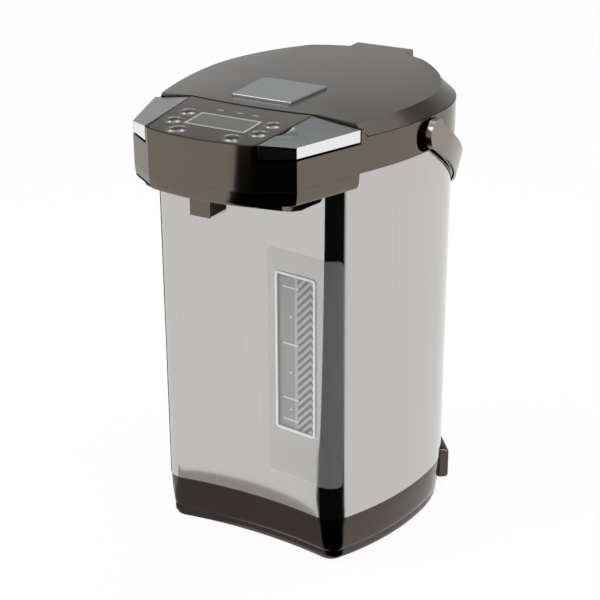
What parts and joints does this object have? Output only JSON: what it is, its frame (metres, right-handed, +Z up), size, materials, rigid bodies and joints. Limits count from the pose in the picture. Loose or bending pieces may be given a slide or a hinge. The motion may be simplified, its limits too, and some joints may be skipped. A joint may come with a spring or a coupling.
{
  "type": "electric thermo pot",
  "caption": "Electric thermo pot with a hinged lid, a beaked head with keys and a spout, a steel jacket, a level window and a swinging handle.",
  "frame": {"origin": "middle of the bounding box, on the surface that the feet stand on", "axes": "+Z up, the beak and spout towards -Y, +X to the right seen from the front"},
  "size_m": [0.219, 0.2826, 0.3518],
  "materials": {
    "steel": "fine vertical brushing",
    "polished": "polished",
    "inner_steel": "drawn, satin",
    "base_brown": "satin moulding",
    "head_brown": "metallic paint, semi-gloss",
    "lid_brown": "metallic paint, semi-gloss",
    "silver": "silver paint",
    "film": "glossy film",
    "button": "gloss",
    "display": "clear pane",
    "display_grey": "matt",
    "clear": "clear plastic",
    "white": "matt",
    "grey": "matt",
    "black": "matt",
    "rubber": "matt",
    "silicone": "translucent, matt",
    "board": "solder resist",
    "brass": "plain",
    "foam": "felt",
    "magnet": "sintered"
  },
  "bodies": {
    "root": {"jacket": "steel", "base_ring": "base_brown", "bottom_cover": "base_brown", "rubber_feet": "rubber", "bottom_screws": "polished", "head_housing": "head_brown", "beak_cover": "head_brown", "beak_screws": "polished", "spout_shroud": "black", "spout_rim": "white", "spout_nozzle": "grey", "control_film": "film", "display_window": "display", "display_module": "display_grey", "control_board": "board", "left_key_spring": "polished", "right_key_spring": "polished", "latch_keeper": "inner_steel", "lid_hinge_pin": "polished", "handle_pins": "polished", "window_cover": "clear", "scale_panel": "white", "level_reflector": "white", "sight_tube": "clear", "tube_seals": "rubber", "container": "inner_steel", "mouth_seal": "silicone", "insulation": "foam", "pot_bracket": "inner_steel", "heater": "grey", "thermostat": "grey", "pump_housing": "white", "pump_motor": "grey", "suction_hose": "silicone", "delivery_hose": "silicone", "spout_hose": "silicone", "power_board": "board", "power_inlet": "black", "inlet_pins": "brass"},
    "lid": {"lid_outer": "lid_brown", "lid_inner": "grey", "lid_disc": "inner_steel", "lid_gasket": "silicone", "steam_valve": "grey", "plate_pin": "polished", "plate_spring": "polished"},
    "release_plate": {"release_plate": "silver"},
    "latch_bolt": {"latch_bolt": "grey"},
    "handle": {"handle": "lid_brown"},
    "left_key": {"left_key": "silver"},
    "right_key": {"right_key": "silver"},
    "impeller": {"pump_impeller": "white", "drive_magnet": "magnet"},
    "round_button_left_rear": {"round_button_left_rear": "button"},
    "round_button_left_front": {"round_button_left_front": "button"},
    "round_button_right_rear": {"round_button_right_rear": "button"},
    "round_button_right_front": {"round_button_right_front": "button"},
    "drop_button_left": {"drop_button_left": "button"},
    "drop_button_right": {"drop_button_right": "button"}
  },
  "joints": [
    {"name": "lid_hinge", "type": "hinge", "parent": "root", "child": "lid", "pos_m": [0, 0.13171, 0.334], "axis": [-1, 0, 0], "range_deg": [0, 80]},
    {"name": "plate_press", "type": "hinge", "parent": "lid", "child": "release_plate", "pos_m": [0, -0.00983, 0.3463], "axis": [1, 0, 0], "range_deg": [0, 4], "stiffness_Nm_per_rad": 6, "deforming": ["plate_spring"]},
    {"name": "bolt_slide", "type": "slide", "parent": "lid", "child": "latch_bolt", "axis": [0, 1, 0], "range_m": [0, 0.0024]},
    {"name": "handle_swing", "type": "hinge", "parent": "root", "child": "handle", "pos_m": [0, 0.00867, 0.3234], "axis": [1, 0, 0], "range_deg": [0, 123]},
    {"name": "left_key_press", "type": "slide", "parent": "root", "child": "left_key", "axis": [0, 0, -1], "range_m": [0, 0.0015], "stiffness_N_per_m": 600, "deforming": ["left_key_spring"]},
    {"name": "right_key_press", "type": "slide", "parent": "root", "child": "right_key", "axis": [0, 0, -1], "range_m": [0, 0.0015], "stiffness_N_per_m": 600, "deforming": ["right_key_spring"]},
    {"name": "impeller_spin", "type": "hinge", "parent": "root", "child": "impeller", "pos_m": [0.02, 0.00067, 0.03], "axis": [0, 0, 1], "continuous": true},
    {"name": "round_button_left_rear_press", "type": "slide", "parent": "root", "child": "round_button_left_rear", "axis": [0, 0.0698, -0.9976], "range_m": [0, 0.0008], "stiffness_N_per_m": 400},
    {"name": "round_button_left_front_press", "type": "slide", "parent": "root", "child": "round_button_left_front", "axis": [0, 0.0698, -0.9976], "range_m": [0, 0.0008], "stiffness_N_per_m": 400},
    {"name": "round_button_right_rear_press", "type": "slide", "parent": "root", "child": "round_button_right_rear", "axis": [0, 0.0698, -0.9976], "range_m": [0, 0.0008], "stiffness_N_per_m": 400},
    {"name": "round_button_right_front_press", "type": "slide", "parent": "root", "child": "round_button_right_front", "axis": [0, 0.0698, -0.9976], "range_m": [0, 0.0008], "stiffness_N_per_m": 400},
    {"name": "drop_button_left_press", "type": "slide", "parent": "root", "child": "drop_button_left", "axis": [0, 0.0698, -0.9976], "range_m": [0, 0.0008], "stiffness_N_per_m": 400},
    {"name": "drop_button_right_press", "type": "slide", "parent": "root", "child": "drop_button_right", "axis": [0, 0.0698, -0.9976], "range_m": [0, 0.0008], "stiffness_N_per_m": 400}
  ],
  "couplings": [
    {"joint": "bolt_slide", "follows": "plate_press", "m_per_rad": 0.034377}
  ]
}
